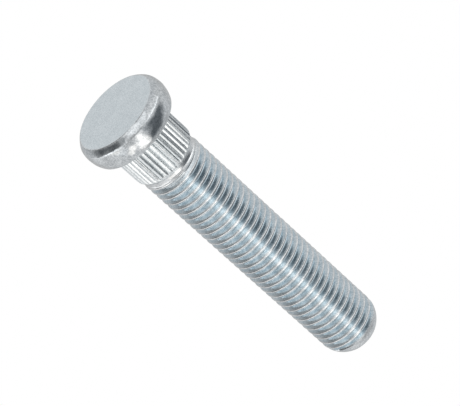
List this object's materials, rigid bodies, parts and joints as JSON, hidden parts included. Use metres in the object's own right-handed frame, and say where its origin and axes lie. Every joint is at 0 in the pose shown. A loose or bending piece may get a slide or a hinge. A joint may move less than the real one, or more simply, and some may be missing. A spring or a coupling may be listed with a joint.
{
  "type": "knurled stud",
  "caption": "Press-in knurled stud: a flat round head with a barrelled rim, a straight knurl, a plain neck and a fine-thread shank with a rounded end.",
  "frame": {"origin": "centre of the head's outer face, on which the stud stands", "axes": "+Z along the stud's axis, from the head to the end of the thread; +X and +Y are square to it and to each other"},
  "size_m": [0.018, 0.018, 0.0676],
  "materials": {
    "zinc_steel": "bright zinc plate, satin"
  },
  "bodies": {
    "root": {"stud": "zinc_steel"}
  },
  "joints": []
}
